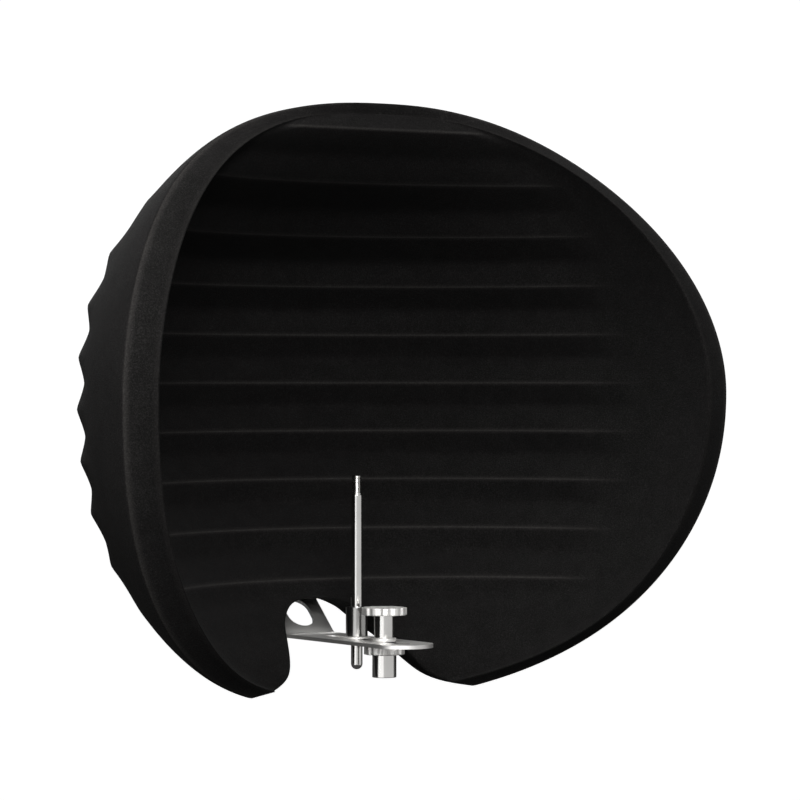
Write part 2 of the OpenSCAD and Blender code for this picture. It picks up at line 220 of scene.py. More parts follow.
# painted dark reflection: the collar gets a darker copy of the same steel, standing in for the dark felt it
# reflects
STEEL_DARKENED_FOR_REFLECTION = tuple(0.55 * c for c in STEEL)
felt_mat = make_felt()
turned_mat = make_steel("turned_steel", STEEL, 0.15, (1, 1, 14), 0.06)
satin_mat = make_steel("satin_steel", STEEL, 0.60, (1, 1, 6), 0.10)
collar_mat = make_steel("collar_steel", STEEL_DARKENED_FOR_REFLECTION, 0.20, (1, 1, 14), 0.08)
plate_mat = make_steel("plate_steel", STEEL, 0.48, (1, 9, 9), 0.12)
zinc_mat = make_plain("zinc_steel", (0.50, 0.50, 0.52), 0.38, 1.0)
rubber_mat = make_plain("rubber", (0.022, 0.022, 0.022), 0.75)
nylon_mat = make_plain("nylon", (0.045, 0.045, 0.047), 0.5)
brass_mat = make_plain("brass", (0.72, 0.56, 0.28), 0.28, 1.0)

# the CAD nodes that stay in view keep their shape and get these finishes
NODE_MATERIALS = {
    "bracket": plate_mat, "seat_pad": rubber_mat, "anchor_plate": zinc_mat,
    "bracket_screws": zinc_mat, "screw_washers": zinc_mat, "clamp_stud": zinc_mat,
    "lower_washer": nylon_mat, "slot_guide": nylon_mat, "knob_insert": brass_mat,
    "post_collet": brass_mat,
}
for node, material in NODE_MATERIALS.items():
    shown = frame["nodes"][node]
    shown.data.materials.clear()
    shown.data.materials.append(material)

# ---------------------------------------------------------------- turned hardware

SEGMENTS = 96
SCALLOPS = 12
SCALLOP_SEGMENTS = 240
EDGE = 0.25 * MM
SHARP_ANGLE = math.radians(50)
ON_AXIS = 1e-9


def rounded(outline, radius=EDGE, steps=3):
    """A closed outline of (r, z) corners with each corner off the axis turned into a small arc.
    A further point on each side of the arc keeps the long faces flat in the shading."""
    out = []
    for k, corner in enumerate(outline):
        here = np.array(corner, float)
        if here[0] < ON_AXIS:
            out.append(here)
            continue
        sides = []
        for other in (outline[k - 1], outline[(k + 1) % len(outline)]):
            way = np.array(other, float) - here
            length = np.linalg.norm(way)
            sides.append((way / length, length))
        cut = min(radius, 0.3 * sides[0][1], 0.3 * sides[1][1])
        start, end = (here + way * cut for way, _ in sides)
        out.append(here + sides[0][0] * 1.5 * cut)
        for j in range(steps + 1):
            t = j / steps
            out.append((1 - t) ** 2 * start + 2 * t * (1 - t) * here + t**2 * end)
        out.append(here + sides[1][0] * 1.5 * cut)
    return out


def lathe(name, outline, centre_y=0.0, segments=SEGMENTS, shape=None):
    """A closed turned piece. The outline of (r, z) runs out along the bottom and back at the top;
    shape(r, z, angle) may move a point's radius."""
    verts, rings = [], []
    for r, z in outline:
        if r < ON_AXIS:
            rings.append([len(verts)] * segments)
            verts.append((0, centre_y, z))
            continue
        rings.append(list(range(len(verts), len(verts) + segments)))
        for s in range(segments):
            angle = 2 * math.pi * s / segments
            rho = shape(r, z, angle) if shape else r
            verts.append((rho * math.cos(angle), centre_y + rho * math.sin(angle), z))
    faces = []
    for k, near in enumerate(rings):
        far = rings[(k + 1) % len(rings)]
        for s in range(segments):
            n = (s + 1) % segments
            face = list(dict.fromkeys((near[s], near[n], far[n], far[s])))
            if len(face) > 2:
                faces.append(face)
    piece = new_object(name, verts, faces)
    piece.data.set_sharp_from_angle(angle=SHARP_ANGLE)
    return piece


def scallop_dips(radius):
    """How far the edge of a scalloped disc dips at each of its segments, with soft corners.
    Each scallop is an arc of radius cut, centred a little outside the edge."""
    cut = 0.17 * radius
    centre = radius + 0.55 * cut
    dips = []
    for s in range(SCALLOP_SEGMENTS):
        turn = (s / SCALLOP_SEGMENTS * SCALLOPS) % 1 - 0.5
        side = centre * math.sin(turn * 2 * math.pi / SCALLOPS)
        near = radius
        if abs(side) < cut:
            near = centre * math.cos(turn * 2 * math.pi / SCALLOPS) - math.sqrt(cut**2 - side**2)
        dips.append(max(0.0, radius - near))
    for _ in range(2):
        dips = [(dips[k - 1] + 2 * dips[k] + dips[(k + 1) % len(dips)]) / 4 for k in range(len(dips))]
    return dips


def scalloped(radius):
    """Shape function for a disc of this radius with finger scallops round its edge."""
    dips = scallop_dips(radius)

    def shape(r, z, angle):
        k = round(angle / (2 * math.pi) * SCALLOP_SEGMENTS) % SCALLOP_SEGMENTS
        return r - dips[k] if r > 0.85 * radius else r

    return shape


def thread(root, crest, z0, z1, pitch, run_out=0.6 * MM):
    """Shape function for a thread between levels z0 and z1; other points keep their radius."""

    def shape(r, z, angle):
        if not z0 <= z <= z1 or not min(root, crest) <= r <= max(root, crest) + ON_AXIS:
            return r
        wave = abs(2 * ((z / pitch - angle / (2 * math.pi)) % 1) - 1)
        flank = min(1.0, max(0.0, 1.5 * wave - 0.25))
        ends = min(1.0, (z - z0) / run_out, (z1 - z) / run_out)
        return crest + (root - crest) * flank * ends

    return shape


def levels_between(z0, z1, step):
    """Levels from z0 to z1, evenly spaced and about a step apart."""
    count = max(2, round(abs(z1 - z0) / step))
    return [z0 + (z1 - z0) * k / count for k in range(count + 1)]


def fit_out(piece, node, body, material):
    """Puts a turned piece in its CAD node's place."""
    piece.data.materials.append(material)
    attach(piece, body)
    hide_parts(node)


def ring(r, bore, z0, z1):
    """The outline of a plain ring."""
    return [(bore, z0), (r, z0), (r, z1), (bore, z1)]


def radius_of(node):
    """Radius of a round CAD node, from its box."""
    lo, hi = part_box(node)
    return (hi.x - lo.x) / 2


# the hidden fits between the turned pieces, as the CAD has them
FIT = 0.05 * MM
SPIGOT_R = 7 * MM
NECK_R = 5.5 * MM
SHANK_R = 5.9 * MM

# standard pitches: 27 turns to the inch on the stand, and 1.25 mm on the 8 mm tip
STAND_PITCH = 25.4 * MM / 27
TIP_PITCH = 1.25 * MM
ROWS_PER_TURN = 8
STAND_THREAD_DEPTH = 0.45 * MM
TIP_THREAD_DEPTH = 0.65 * MM

mounts = {m["name"]: m for m in frame["record"]["mounts"]}
thread_r = mounts["stand_thread"]["dims"]["r_mm"] * MM
thread_len = mounts["stand_thread"]["dims"]["length_mm"] * MM
tip_r = mounts["post_tip"]["dims"]["r_mm"] * MM
tip_len = mounts["post_tip"]["dims"]["length_mm"] * MM
post_y = mounts["post_tip"]["pos_m"][1]


def build_socket():
    lo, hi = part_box("stand_socket")
    wheel_lo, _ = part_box("socket_wheel")
    r, stud_r = radius_of("stand_socket"), radius_of("clamp_stud")
    mouth = 0.5 * MM
    body = [(thread_r + mouth, lo.z), (r, lo.z), (r, wheel_lo.z), (SPIGOT_R, wheel_lo.z), (SPIGOT_R, hi.z),
            (stud_r, hi.z), (stud_r, thread_len)]
    # its first two points lie towards the bore, whose own rows take their place
    outline = rounded(body, mouth)[2:]
    top = thread_len - mouth
    bore = [(thread_r, z) for z in levels_between(thread_len, mouth, STAND_PITCH / ROWS_PER_TURN)]
    shape = thread(thread_r + STAND_THREAD_DEPTH, thread_r, mouth, top, STAND_PITCH)
    fit_out(lathe("socket_barrel", outline + bore, shape=shape), "stand_socket", "stand_mount", turned_mat)


def build_wheel():
    lo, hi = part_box("socket_wheel")
    r = radius_of("socket_wheel")
    outline = rounded(ring(r, SPIGOT_R, lo.z, hi.z), 0.8 * MM, 4)
    wheel = lathe("scalloped_wheel", outline, 0, SCALLOP_SEGMENTS, scalloped(r))
    fit_out(wheel, "socket_wheel", "stand_mount", satin_mat)


def build_pillar():
    lo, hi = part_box("clamp_pillar")
    knob_lo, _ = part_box("clamp_knob")
    r, insert_r = radius_of("clamp_pillar"), radius_of("knob_insert")
    _, insert_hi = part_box("knob_insert")
    outline = rounded([(insert_r, lo.z), (r, lo.z), (r, knob_lo.z), (NECK_R, knob_lo.z), (NECK_R, hi.z),
                       (0, hi.z), (0, insert_hi.z), (insert_r, insert_hi.z)], 0.4 * MM)
    fit_out(lathe("pillar", outline), "clamp_pillar", "knob", turned_mat)


def build_knob():
    lo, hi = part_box("clamp_knob")
    _, pillar_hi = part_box("clamp_pillar")
    r = radius_of("clamp_knob")
    outline = rounded([(0, pillar_hi.z), (NECK_R, pillar_hi.z), (NECK_R, lo.z), (r, lo.z), (r, hi.z),
                       (0, hi.z)], 0.8 * MM, 4)
    knob = lathe("scalloped_knob", outline, 0, SCALLOP_SEGMENTS, scalloped(r))
    fit_out(knob, "clamp_knob", "knob", satin_mat)


def build_washers():
    lo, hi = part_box("pillar_washer")
    bore = radius_of("clamp_stud") + FIT
    outline = rounded(ring(radius_of("pillar_washer"), bore, lo.z, hi.z), 0.4 * MM)
    fit_out(lathe("pillar_foot", outline), "pillar_washer", "pan_guide", satin_mat)
    lo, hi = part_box("collar_washer")
    outline = rounded(ring(radius_of("collar_washer"), SHANK_R + FIT, lo.z, hi.z), 0.3 * MM)
    fit_out(lathe("wide_washer", outline, post_y), "collar_washer", "post_carrier", satin_mat)


def build_stem():
    lo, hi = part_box("post_stem")
    plate_lo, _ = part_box("bracket")
    bore, flange = radius_of("post_rod") + FIT, radius_of("post_stem")
    step = plate_lo.z - FIT
    outline = rounded([(bore, lo.z), (flange, lo.z), (flange, step), (SHANK_R, step), (SHANK_R, hi.z),
                       (bore, hi.z)])
    fit_out(lathe("stem", outline, post_y), "post_stem", "post_carrier", turned_mat)


def build_collar():
    lo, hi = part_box("post_collar")
    _, stem_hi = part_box("post_stem")
    _, collet_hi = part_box("post_collet")
    shank_bore = SHANK_R + FIT
    collet_bore = radius_of("post_collet") + 2 * FIT
    top_bore = radius_of("post_rod") + 0.35 * MM
    step, roof = stem_hi.z - 2 * FIT, collet_hi.z + 2 * FIT
    r = radius_of("post_collar")
    outline = rounded([(shank_bore, lo.z), (r, lo.z), (r, hi.z), (top_bore, hi.z), (top_bore, roof),
                       (collet_bore, roof), (collet_bore, step), (shank_bore, step)], 0.35 * MM)
    fit_out(lathe("collar", outline, post_y), "post_collar", "post_nut", collar_mat)


def build_rod():
    lo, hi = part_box("post_rod")
    r = radius_of("post_rod")
    shoulder = mounts["post_tip"]["pos_m"][2] - tip_len / 2
    chamfer, plain = 0.4 * MM, 0.8 * MM
    top = hi.z - chamfer
    dome = [(r * math.sin(t), lo.z + r - r * math.cos(t)) for t in np.linspace(0, math.pi / 2, 17)]
    # only the shoulder's corners are kept, because the dome is made above
    neck = rounded([(0, lo.z), (r, lo.z + r), (r, shoulder - chamfer), (tip_r, shoulder)], 0.3 * MM)
    neck = [p for p in neck if p[1] > lo.z + 2 * r]
    rows = [(tip_r, z) for z in levels_between(shoulder + FIT, top, TIP_PITCH / ROWS_PER_TURN)]
    cap = [(tip_r - chamfer, hi.z), (0, hi.z)]
    shape = thread(tip_r - TIP_THREAD_DEPTH, tip_r, shoulder + plain, top, TIP_PITCH)
    rod = lathe("threaded_rod", dome + neck + rows + cap, post_y, shape=shape)
    fit_out(rod, "post_rod", "post", turned_mat)


for build in (build_socket, build_wheel, build_pillar, build_knob, build_washers, build_stem, build_collar,
              build_rod):
    build()

# the sheet steel's cut edges are broken a little
edges = frame["nodes"]["bracket"].modifiers.new("soft_edges", "BEVEL")
edges.width = EDGE
edges.segments = 2
edges.limit_method = "ANGLE"
edges.angle_limit = SHARP_ANGLE

# ---------------------------------------------------------------- felt bowl

# The box of the bowl's solid gives its width, levels and front. The rest are the bowl's own sizes.
felt_lo, felt_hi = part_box("felt_shell")
LIP_W = 27 * MM
LIP_H = 8.5 * MM
LIP_BACK = 10.6 * MM
WALL = 14 * MM
BOWL_DEPTH = 300 * MM
RIM_UP = 226 * MM
RIM_DOWN = 247 * MM
OUT_HALF_W = felt_hi.x
OUT_TOP = felt_hi.z + 0.5 * MM
RIM_FRONT = felt_lo.y
RIM_LEVEL = OUT_TOP - LIP_H - RIM_UP
DEEP_LEVEL = RIM_LEVEL + 25 * MM

# exponents of the rim's width above and below its widest level, and of each level section
UP_P, UP_Q = 1.87, 2.4
DOWN_P, DOWN_Q = 2.2, 2.43
SECTION_M = 1.9
# lean back of the rim: (upper square, upper end, lower square, lower end)
INNER_LEAN = [v * MM for v in (92, 7, 82, 57)]
OUTER_LEAN = [v * MM for v in (107, -21, 95.5, 35)]
# exponents of the back's profile above and below its deepest level
BACK_UP = (2.78, 0.6)
OUTSIDE_DOWN = (3.28, 0.95)
INSIDE_DOWN = (2.9, 1.08)

# the ribs fade out near the rim and at its top, and the two lobes beside the notch have none
RIB_PITCH = 41 * MM
OUTER_RIB = 4.2 * MM
INNER_RIB = 5.8 * MM
RIB_CREST = RIM_LEVEL + 8 * MM
RIB_START, RIB_FULL = math.radians(15), math.radians(33)
RIB_SOFT = 0.965
LAST_RIB, PLAIN_BELOW = 72 * MM, 46 * MM
TOP_PLAIN = 14 * MM

# the notch: a level top with round corners, flaring sides, and lobes that round off at the rim
NOTCH_TOP = RIM_LEVEL - 172 * MM
NOTCH_REF = RIM_LEVEL - 240 * MM
NOTCH_CORNER = 22 * MM
NOTCH_HALF_W = 32 * MM
NOTCH_FLARE = 36 * MM
NOTCH_ROUND = 17 * MM
FLARE_E, ROUND_E = 0.75, 13

# the outer face's flat seat for the tongue, and the thicker felt behind the notch
plate_lo, plate_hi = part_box("bracket")
PLATE_HALF_W = plate_hi.x
TONGUE_ANGLE = math.radians(43)
BEND_R = 4 * MM
BEND_Y = 113 * MM
PLATE_T = 3 * MM
BEND_Z = plate_lo.z + PLATE_T + BEND_R
SEAT_Z = -2 * MM
SEAT_MARGIN, SEAT_FADE = 12 * MM, 14 * MM
BOSS_DEPTH = 42 * MM
BOSS_HALF_W = 70 * MM
BOSS_LEVEL = 52 * MM
BOSS_HALF_H = 43 * MM


def clamp01(v):
    return np.clip(v, 0, 1)


def smooth(v):
    """0 up to v = 0, 1 from v = 1, and an even S between them."""
    c = clamp01(v)
    return c * c * (3 - 2 * c)


class Surface:
    """One face of the felt wall: its rim width, lean and back profile at any level z."""

    def __init__(self, half_w, up, down, y0, lean, back, down_profile, rib_height, bosses):
        self.half_w, self.up, self.down = half_w, up, down
        self.y0, self.lean_terms, self.back = y0, lean, back
        self.down_e, self.down_k = down_profile
        self.rib_height, self.bosses = rib_height, bosses

    def share(self, z):
        """How far z is from the widest level, as a share of the way to the rim's top or bottom."""
        return clamp01(np.where(z > RIM_LEVEL, (z - RIM_LEVEL) / self.up, (RIM_LEVEL - z) / self.down))

    def width(self, z):
        """Half the rim's width."""
        h = self.share(z)
        upper = (1 - h ** UP_P) ** (1 / UP_Q)
        lower = (1 - h ** DOWN_P) ** (1 / DOWN_Q)
        return self.half_w * np.where(z > RIM_LEVEL, upper, lower)

    def front(self, z):
        """How far the rim leans back."""
        h = self.share(z)
        u2, u8, d2, d8 = self.lean_terms
        return self.y0 + np.where(z > RIM_LEVEL, u2 * h**2 + u8 * h**8, d2 * h**2 + d8 * h**8)

    def depth(self, z):
        """How far the back is behind the rim."""
        top, bottom = RIM_LEVEL + self.up, RIM_LEVEL - self.down
        e, k = BACK_UP
        high = (1 - clamp01((z - DEEP_LEVEL) / (top - DEEP_LEVEL)) ** e) ** (1 / k)
        low = (1 - clamp01((DEEP_LEVEL - z) / (DEEP_LEVEL - bottom)) ** self.down_e) ** (1 / self.down_k)
        return (self.back - self.front(z)) * np.where(z > DEEP_LEVEL, high, low)

    def points(self, z, angle):
        """Points of the face at levels z and section angles angle, both arrays of one shape."""
        under_top = smooth((RIM_LEVEL + self.up - z) / TOP_PLAIN)
        r = self.rib_height * rib_wave(z) * rib_fade(angle) * under_top
        x = self.width(z) * across(angle) + r * across(angle) * np.abs(across(angle))
        y = self.depth(z) + r
        if self.bosses:
            y = y + boss(x, z)
        y = self.front(z) + y * np.abs(np.sin(angle)) ** (2 / SECTION_M) + RIM_FRONT
        if self.bosses:
            y = seated(x, y, z)
        return np.stack([x, y, z + 0 * x], -1)


def across(angle):
    """A section's share of its half width at an angle: 1 at the right rim, -1 at the left."""
    c = np.cos(angle)
    return np.sign(c) * np.abs(c) ** (2 / SECTION_M)


def rib_wave(z):
    """Softened triangle wave: -1 at an inner crest, 1 halfway between two crests. The lobes are plain."""
    turn = 2 * math.pi * (z - RIB_CREST) / RIB_PITCH
    wave = -np.arcsin(RIB_SOFT * np.cos(turn)) / math.asin(RIB_SOFT)
    return wave * above_lobes(z)


def above_lobes(z):
    """0 in the lobes beside the notch and 1 from the last rib up."""
    return smooth((z - PLAIN_BELOW) / (LAST_RIB - PLAIN_BELOW))


def rib_fade(angle):
    """0 near the rim and 1 where the ribs are full."""
    nearest = np.minimum(angle, math.pi - angle)
    return smooth((nearest - RIB_START) / (RIB_FULL - RIB_START))


def boss(x, z):
    """The extra depth of the felt behind the notch."""
    return BOSS_DEPTH * np.exp(-((x / BOSS_HALF_W) ** 2)) * np.exp(-(((z - BOSS_LEVEL) / BOSS_HALF_H) ** 2))


def seated(x, y, z):
    """The outer face lies flat against the tongue's pad."""
    s, c = math.sin(TONGUE_ANGLE), math.cos(TONGUE_ANGLE)
    seat_y = BEND_Y - SEAT_Z * s + (z - BEND_Z - SEAT_Z * c) / s * c
    inside = 1 - smooth((np.abs(x) - PLATE_HALF_W - SEAT_MARGIN) / SEAT_FADE)
    return y + (np.minimum(y, seat_y) - y) * inside


def notch_side(z):
    """Half the notch's width."""
    u = np.maximum((NOTCH_TOP - z) / (NOTCH_TOP - NOTCH_REF), 0)
    t = clamp01((z - NOTCH_TOP + NOTCH_CORNER) / NOTCH_CORNER)
    side = NOTCH_HALF_W + NOTCH_FLARE * u**FLARE_E + NOTCH_ROUND * u**ROUND_E
    return side - NOTCH_CORNER * (1 - np.sqrt(1 - t * t))


inner = Surface(OUT_HALF_W - LIP_W, RIM_UP, RIM_DOWN, 0, INNER_LEAN, BOWL_DEPTH - WALL, INSIDE_DOWN,
                INNER_RIB, False)
outer = Surface(OUT_HALF_W, RIM_UP + LIP_H, RIM_DOWN + LIP_H, LIP_BACK, OUTER_LEAN, BOWL_DEPTH,
                OUTSIDE_DOWN, OUTER_RIB, True)


def lobe_end(face):
    """Level at which the notch's side runs out over this face's rim, found by halving."""
    low, high = RIM_LEVEL - face.down, NOTCH_TOP - NOTCH_CORNER
    left_over = 0.2 * MM
    for _ in range(40):
        mid = (low + high) / 2
        if face.width(mid) > notch_side(mid) + left_over:
            high = mid
        else:
            low = mid
    return high


# rows and columns of the mesh; FINE are the distances from an edge of the close ones beside it
FINE = np.array([0.35, 0.9, 1.8, 3.0, 4.5]) * MM
RIBS_EACH_WAY = 8
RIB_ROWS = 14
BESIDE_CREST = 0.9 * MM
TOP_ROWS, TOP_BAND = 18, 16 * MM
CORNER_ROWS = 12
LOBE_ROWS, LOBE_BAND = 16, 25 * MM
SIDE_COLUMNS = 46
MIDDLE_COLUMNS = 14
MIDDLE_SHARE = 0.3
FINE_SHARE = 0.3
CLEAR_OF_FINE, CLEAR_OF_CORNER = 6 * MM, 1.5 * MM
CAP_DROP = 0.0005 * MM


def row_levels(face):
    """Levels of the mesh rows from the top down. Both faces share all but the end rows."""
    top = RIM_LEVEL + face.up
    step = RIB_PITCH / RIB_ROWS
    crests = [RIB_CREST + k * RIB_PITCH for k in range(-RIBS_EACH_WAY, RIBS_EACH_WAY)]
    even = [RIB_CREST + j * step for j in range(-RIBS_EACH_WAY * RIB_ROWS, RIBS_EACH_WAY * RIB_ROWS)]
    even += [crest + d for crest in crests for d in (-BESIDE_CREST, BESIDE_CREST)]
    even = np.array(sorted(even, reverse=True))
    high = RIM_LEVEL + RIM_UP - TOP_BAND
    upper = even[(even < high) & (even > NOTCH_TOP + CLEAR_OF_FINE)]
    low = NOTCH_TOP - NOTCH_CORNER
    lower = even[(even < low - CLEAR_OF_CORNER) & (even > RIM_LEVEL - RIM_DOWN + LOBE_BAND)]
    cap = top - CAP_DROP
    ends = [cap - (cap - upper[0]) * (k / TOP_ROWS) ** 2 for k in range(TOP_ROWS)]
    corner = [low + NOTCH_CORNER * math.cos(math.pi / 2 * k / CORNER_ROWS) for k in range(CORNER_ROWS + 1)]
    lobe = lobe_end(face)
    tips = [lobe + (lower[-1] - lobe) * (k / LOBE_ROWS) ** 1.5 for k in range(LOBE_ROWS - 1, -1, -1)]
    levels = np.concatenate([ends, upper, NOTCH_TOP + FINE[::-1], corner, lower, tips])
    return levels, len(ends) + len(upper) + len(FINE)


def column_angles(face, z):
    """Section angles of all columns at each level: rim, side, notch or middle, side, rim.
    The close columns beside an edge draw together where there is little room or depth for them."""
    little_room, little_depth = 30 * MM, 40 * MM
    a = face.width(z)
    w = np.where(z < NOTCH_TOP, notch_side(z), np.minimum(notch_side(z), MIDDLE_SHARE * a))
    room = clamp01((a - w) / little_room)
    near = [np.arccos(clamp01((w + d * room) / a) ** (SECTION_M / 2)) for d in (0, *FINE)]
    depth = np.maximum(face.depth(z), 1e-6)
    deep = clamp01(depth / little_depth)
    far = [np.arcsin(clamp01(d * deep / depth) ** (SECTION_M / 2)) for d in (0, *FINE)]
    limit = near[-1] * FINE_SHARE
    far = [np.minimum(f, limit * k / len(FINE)) for k, f in enumerate(far)]
    steps = [far[-1] + (near[-1] - far[-1]) * k / SIDE_COLUMNS for k in range(1, SIDE_COLUMNS)]
    right = far + steps + near[::-1]
    middle = []
    for k in range(1, MIDDLE_COLUMNS):
        x = w * (1 - 2 * k / MIDDLE_COLUMNS)
        middle.append(np.arccos(np.sign(x) * (np.abs(x) / a) ** (SECTION_M / 2)))
    left = [math.pi - r for r in right[::-1]]
    return np.stack(right + middle + left, -1), len(right) - 1


# radii of the felt's edges, the share of the wall that a round edge may take up, and the
# height over which the rounding fades out at the rim's top
RIM_ROUND = 2.2 * MM
FOLD_ROUND = 1.3 * MM
NOTCH_ROUNDING = 3.2 * MM
MOST_PULL = 0.45
TOP_FLAT = 9 * MM
BAND_STEPS = 5


def densify(points, sides, step=0.35 * MM):
    """Samples along a polyline, with the side direction carried along."""
    out = []
    for a, b, va, vb in zip(points[:-1], points[1:], sides[:-1], sides[1:]):
        n = max(1, int(np.linalg.norm(b - a) / step))
        for k in range(n):
            t = k / n
            out.append((a + (b - a) * t, va + (vb - va) * t))
    return out


def round_edge(grid, samples, radius):
    """Pulls the points within radius of an edge along its side direction, into a quarter round."""
    tree = KDTree(len(samples))
    for k, (point, _) in enumerate(samples):
        tree.insert(point, k)
    tree.balance()
    shift = np.zeros_like(grid)
    for j in range(grid.shape[0]):
        for i in range(grid.shape[1]):
            _, k, d = tree.find(grid[j, i])
            if d < radius:
                side = samples[k][1]
                length = np.linalg.norm(side)
                pull = min(radius - math.sqrt(radius**2 - (radius - d) ** 2), MOST_PULL * length)
                shift[j, i] = side / max(length, 1e-9) * pull
    return shift


def off_top(face, points):
    """0 at the very top of the rim, where the faces run flat into each other, and 1 below it."""
    return smooth((RIM_LEVEL + face.up - points[..., 2:]) / TOP_FLAT)


def edge_lines(mine, other, notch_row, right_col):
    """The face's two free edges as polylines, each with the direction to the other face's edge."""
    left_col = mine.shape[1] - 1 - right_col
    rim_index = [(j, 0) for j in range(mine.shape[0] - 1, -1, -1)]
    rim_index += [(j, mine.shape[1] - 1) for j in range(mine.shape[0])]
    notch_index = [(j, right_col) for j in range(mine.shape[0] - 1, notch_row, -1)]
    notch_index += [(notch_row, i) for i in range(right_col, left_col + 1)]
    notch_index += [(j, left_col) for j in range(notch_row + 1, mine.shape[0])]
    lines = []
    for index in (rim_index, notch_index):
        rows, cols = zip(*index)
        lines.append(densify(mine[rows, cols], other[rows, cols] - mine[rows, cols]))
    return lines


# how strong the painted highlight is along the inner crests, the crease round the lip and the inner rim
CREST_HIGHLIGHT, LIP_HIGHLIGHT, RIM_HIGHLIGHT = 0.35, 0.30, 0.10
CREST_HALF_W = 0.8 * MM


def crest_highlight(z, angle):
    """Painted highlight along the inner crests of the ribs, where light catches them."""
    phase = (z - RIB_CREST) / RIB_PITCH
    off = np.abs(phase - np.round(phase)) * RIB_PITCH
    return CREST_HIGHLIGHT * np.exp(-((off / CREST_HALF_W) ** 2)) * rib_fade(angle) * above_lobes(z)


def build_felt():
    """The bowl as one closed mesh: two faces of matching rows and columns, and a band round their edges."""
    levels_in, notch_row = row_levels(inner)
    levels_out, _ = row_levels(outer)
    angles_in, right_col = column_angles(inner, levels_in)
    angles_out, _ = column_angles(outer, levels_out)
    wide = np.ones((1, angles_in.shape[1]))
    z_in, z_out = levels_in[:, None] * wide, levels_out[:, None] * wide
    face_in, face_out = inner.points(z_in, angles_in), outer.points(z_out, angles_out)
    rows, cols = z_in.shape
    left_col = cols - 1 - right_col

    in_lines = edge_lines(face_in, face_out, notch_row, right_col)
    out_lines = edge_lines(face_out, face_in, notch_row, right_col)
    moved_in = face_in + round_edge(face_in, in_lines[0], RIM_ROUND) * off_top(inner, face_in)
    moved_in += round_edge(face_in, in_lines[1], NOTCH_ROUNDING)
    moved_out = face_out + round_edge(face_out, out_lines[0], FOLD_ROUND) * off_top(outer, face_out)
    moved_out += round_edge(face_out, out_lines[1], NOTCH_ROUNDING)

    verts = [*moved_out.reshape(-1, 3), *moved_in.reshape(-1, 3)]
    size = rows * cols
    # per point: painted shade on the inside face, and painted highlights on the inner crests
    inside = [0.0] * size + [1.0] * size
    fold_highlights = [0.0] * size + [*crest_highlight(z_in, angles_in).ravel()]

    def at(j, i):
        return j * cols + i

    def solid(j, i):
        return j < notch_row or i < right_col or i >= left_col

    faces = []
    for j in range(rows - 1):
        for i in range(cols - 1):
            if solid(j, i):
                quad = (at(j, i), at(j + 1, i), at(j + 1, i + 1), at(j, i + 1))
                faces.append(quad)
                faces.append(tuple(v + size for v in reversed(quad)))

    # free edges of the sheet, each as a loop of outer points in order
    rim_loop = [at(j, 0) for j in range(rows - 1, -1, -1)] + [at(0, i) for i in range(1, cols)]
    rim_loop += [at(j, cols - 1) for j in range(1, rows)]
    notch_loop = [at(rows - 1, i) for i in range(cols - 1, left_col, -1)]
    notch_loop += [at(j, left_col) for j in range(rows - 1, notch_row, -1)]
    notch_loop += [at(notch_row, i) for i in range(left_col, right_col, -1)]
    notch_loop += [at(j, right_col) for j in range(notch_row, rows)]
    notch_loop += [at(rows - 1, i) for i in range(right_col - 1, -1, -1)]
    loop = rim_loop + notch_loop[1:-1]
    rings = [loop]
    for k in range(1, BAND_STEPS):
        between = []
        for v in loop:
            between.append(len(verts))
            t = k / BAND_STEPS
            verts.append(verts[v] * (1 - t) + verts[v + size] * t)
            fold_highlights.append(0.0)
            inside.append(t)
        rings.append(between)
    rings.append([v + size for v in loop])
    for near, far in zip(rings[:-1], rings[1:]):
        for k in range(len(loop)):
            n = (k + 1) % len(loop)
            faces.append((near[k], near[n], far[n], far[k]))
    # the crease round the outer edge of the lip, and the inner rim, get a painted highlight too
    for v in rim_loop:
        fold_highlights[v] = LIP_HIGHLIGHT
        fold_highlights[v + size] = RIM_HIGHLIGHT
    obj = new_object("felt_bowl", verts, faces)
    for name, values in (("fold", fold_highlights), ("inside", inside)):
        attribute = obj.data.attributes.new(name, "FLOAT", "POINT")
        attribute.data.foreach_set("value", np.array(values, np.float32))
    obj.data.materials.append(felt_mat)
    return obj


felt = build_felt()
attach(felt, "shield")
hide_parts("felt_shell")

# ---------------------------------------------------------------- camera, light and floor


# the camera stands left of the open front; it looks a touch down, and a touch left of the rim's middle
CAMERA_AZIMUTH = 34
CAMERA_DISTANCE = 2.835
CAMERA_LEVEL = 0.243
CAMERA_YAW, CAMERA_PITCH = 0.7735, -0.366


def heading(left_of_front):
    """The level direction this many degrees to the left of the bowl's open front."""
    turn = math.radians(left_of_front)
    return (-math.sin(turn), -math.cos(turn), 0)


def aim(obj, way):
    """Turns a camera or a light to look along way."""
    obj.rotation_mode = "QUATERNION"
    obj.rotation_quaternion = Vector(way).to_track_quat("-Z", "Y")


def make_camera():
    data = bpy.data.cameras.new("camera")
    data.lens = 162
    data.sensor_width = 36
    data.clip_start, data.clip_end = 0.05, 60
    cam = bpy.data.objects.new("camera", data)
    bpy.context.scene.collection.objects.link(cam)
    away = Vector(heading(CAMERA_AZIMUTH)) * CAMERA_DISTANCE
    cam.location = away + Vector((0, RIM_FRONT, CAMERA_LEVEL))
    yaw, pitch = math.radians(CAMERA_AZIMUTH - CAMERA_YAW), math.radians(CAMERA_PITCH)
    aim(cam, (math.sin(yaw) * math.cos(pitch), math.cos(yaw) * math.cos(pitch), math.sin(pitch)))
    bpy.context.scene.camera = cam


